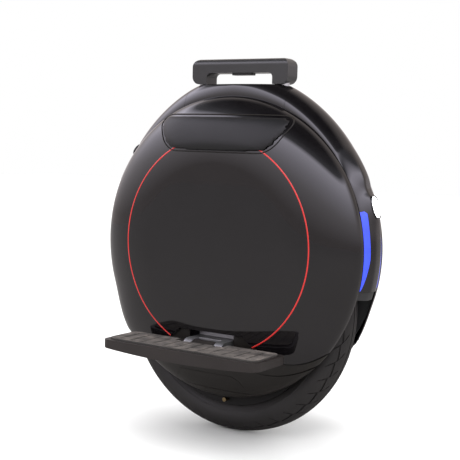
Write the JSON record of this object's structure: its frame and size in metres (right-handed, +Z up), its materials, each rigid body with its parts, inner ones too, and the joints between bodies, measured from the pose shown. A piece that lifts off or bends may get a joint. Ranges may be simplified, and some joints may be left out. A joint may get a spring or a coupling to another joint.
{
  "type": "electric unicycle",
  "caption": "Self-balancing electric unicycle with a hub-motor wheel in a glossy round shell, folding pedals, leg pads, lamps and a telescopic handle.",
  "frame": {"origin": "where the tyre meets the ground, under the axle", "axes": "+X forward, the headlight side; +Y to the rider's left, along the axle; +Z up"},
  "size_m": [0.464, 0.314, 0.562],
  "materials": {
    "tyre": "matte",
    "black_rubber": "matte",
    "motor_casting": "satin, painted grey",
    "bright_steel": "bright",
    "dark_steel": "oiled",
    "brass_valve": "satin",
    "copper_wire": "enamelled wire",
    "cast_aluminium": "cast",
    "inner_plastic": "matte, moulded",
    "gloss_black": "high gloss",
    "red_trim": "gloss",
    "satin_black": "satin, fine moulded grain",
    "soft_pad": "soft, smooth",
    "blue_light": "diffusing light guide",
    "circuit_board": "lacquered",
    "lamp_lens": "clear",
    "red_lens": "tinted",
    "battery_wrap": "shrink wrap",
    "bare_aluminium": "brushed",
    "handle_plastic": "satin",
    "pedal_metal": "satin powder coat",
    "pedal_rubber": "matte"
  },
  "bodies": {
    "root": {"axle": "dark_steel", "stator_core": "dark_steel", "stator_windings": "copper_wire", "motor_cable": "black_rubber", "hanger_right": "cast_aluminium", "hanger_left": "cast_aluminium", "hanger_bolts": "dark_steel", "axle_nuts": "bright_steel", "pedal_pins": "bright_steel", "side_frame_right": "inner_plastic", "side_frame_left": "inner_plastic", "fender": "inner_plastic", "cover_screws": "dark_steel", "mud_flaps": "black_rubber", "front_shell": "gloss_black", "rear_shell": "gloss_black", "top_cover": "gloss_black", "side_cover_right": "gloss_black", "side_cover_left": "gloss_black", "trim_rings": "red_trim", "side_band_right": "satin_black", "side_band_left": "satin_black", "lower_cover_right": "satin_black", "lower_cover_left": "satin_black", "service_panel_right": "satin_black", "service_panel_left": "satin_black", "leg_pad_right": "soft_pad", "leg_pad_left": "soft_pad", "light_strip_front_right": "blue_light", "light_strip_front_left": "blue_light", "light_strip_rear_right": "blue_light", "light_strip_rear_left": "blue_light", "light_boards": "circuit_board", "headlight_housing": "inner_plastic", "headlight_lens": "lamp_lens", "tail_light_lens": "red_lens", "battery_packs": "battery_wrap", "controller_board": "circuit_board", "heat_sink": "bare_aluminium", "charge_socket": "inner_plastic", "handle_guides": "bare_aluminium"},
    "wheel": {"tyre": "tyre", "inner_tube": "black_rubber", "hub_rim": "motor_casting", "motor_cover_right": "motor_casting", "motor_cover_left": "motor_casting", "magnets": "bright_steel", "hub_bearings": "bright_steel", "motor_cover_screws": "dark_steel", "valve_stem": "brass_valve"},
    "power_button": {"power_button": "bare_aluminium"},
    "charge_cap": {"charge_cap": "black_rubber"},
    "handle_lower": {"handle_lower_tubes": "bare_aluminium"},
    "handle_upper": {"handle_upper_tubes": "bare_aluminium", "handle_grip": "handle_plastic"},
    "handle_button": {"handle_button": "handle_plastic"},
    "pedal_right": {"pedal_right": "pedal_metal", "pedal_grip_right": "pedal_rubber"},
    "pedal_left": {"pedal_left": "pedal_metal", "pedal_grip_left": "pedal_rubber"}
  },
  "joints": [
    {"name": "wheel_spin", "type": "hinge", "parent": "root", "child": "wheel", "pos_m": [0, 0, 0.2], "axis": [0, 1, 0], "continuous": true},
    {"name": "pedal_right_fold", "type": "hinge", "parent": "root", "child": "pedal_right", "pos_m": [0, -0.082, 0.139], "axis": [-1, 0, 0], "range_deg": [0, 86]},
    {"name": "pedal_left_fold", "type": "hinge", "parent": "root", "child": "pedal_left", "pos_m": [0, 0.082, 0.139], "axis": [1, 0, 0], "range_deg": [0, 86]},
    {"name": "handle_first_stage", "type": "slide", "parent": "root", "child": "handle_lower", "axis": [0, 0, 1], "range_m": [0, 0.085]},
    {"name": "handle_second_stage", "type": "slide", "parent": "handle_lower", "child": "handle_upper", "axis": [0, 0, 1], "range_m": [0, 0.085]},
    {"name": "handle_release", "type": "slide", "parent": "handle_upper", "child": "handle_button", "axis": [0, 0, 1], "range_m": [0, 0.0025], "stiffness_N_per_m": 600},
    {"name": "power_press", "type": "slide", "parent": "root", "child": "power_button", "axis": [0.4848, 0, -0.8746], "range_m": [0, 0.0012], "stiffness_N_per_m": 800},
    {"name": "charge_cap_lift", "type": "hinge", "parent": "root", "child": "charge_cap", "pos_m": [-0.18923, 0, 0.43338], "axis": [0, 1, 0], "range_deg": [0, 100]}
  ]
}
